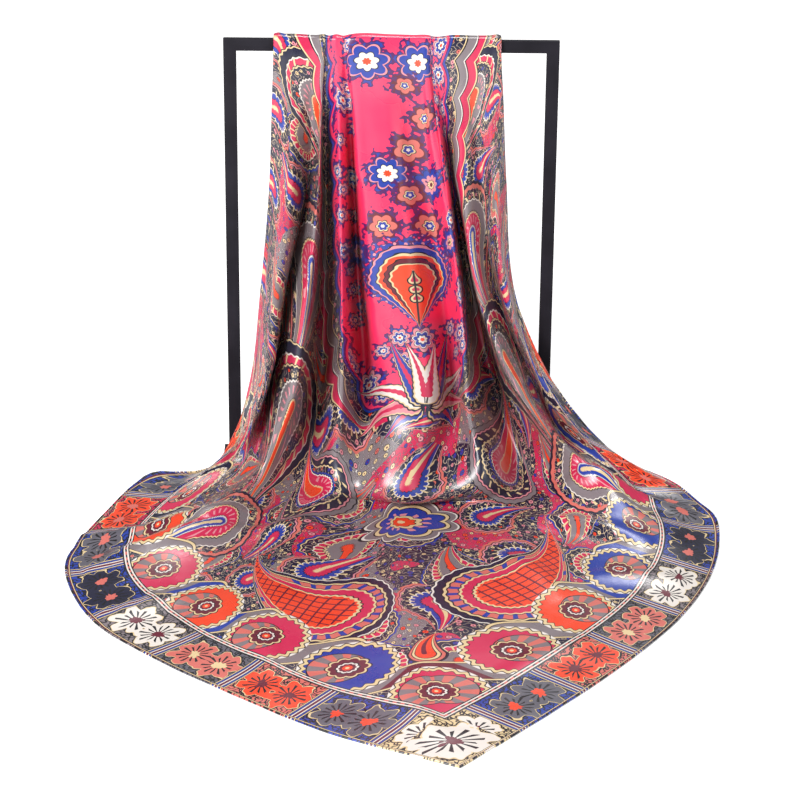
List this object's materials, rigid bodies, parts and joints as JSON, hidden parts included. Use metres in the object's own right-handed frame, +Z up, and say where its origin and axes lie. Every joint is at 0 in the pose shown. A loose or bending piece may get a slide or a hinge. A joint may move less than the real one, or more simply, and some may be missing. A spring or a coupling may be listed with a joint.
{
  "type": "silk square scarf on a display stand",
  "caption": "Printed silk satin square draped corner-down over a flat-bar display stand, its front corner spread on the surface.",
  "frame": {"origin": "middle of the stand's base bar, on its underside, at the level of the surface it stands on", "axes": "+Z up, +X to the right of someone facing the scarf, -Y towards them"},
  "size_m": [0.6565, 0.6332, 0.4815],
  "materials": {
    "silk_satin": "printed satin",
    "black_steel": "satin powder coat"
  },
  "bodies": {
    "root": {"scarf_over_bar": "silk_satin", "scarf_fall": "silk_satin", "scarf_spread": "silk_satin", "top_bar": "black_steel", "base_bar": "black_steel", "post_left": "black_steel", "post_right": "black_steel", "foot_left": "black_steel", "foot_right": "black_steel"}
  },
  "joints": []
}
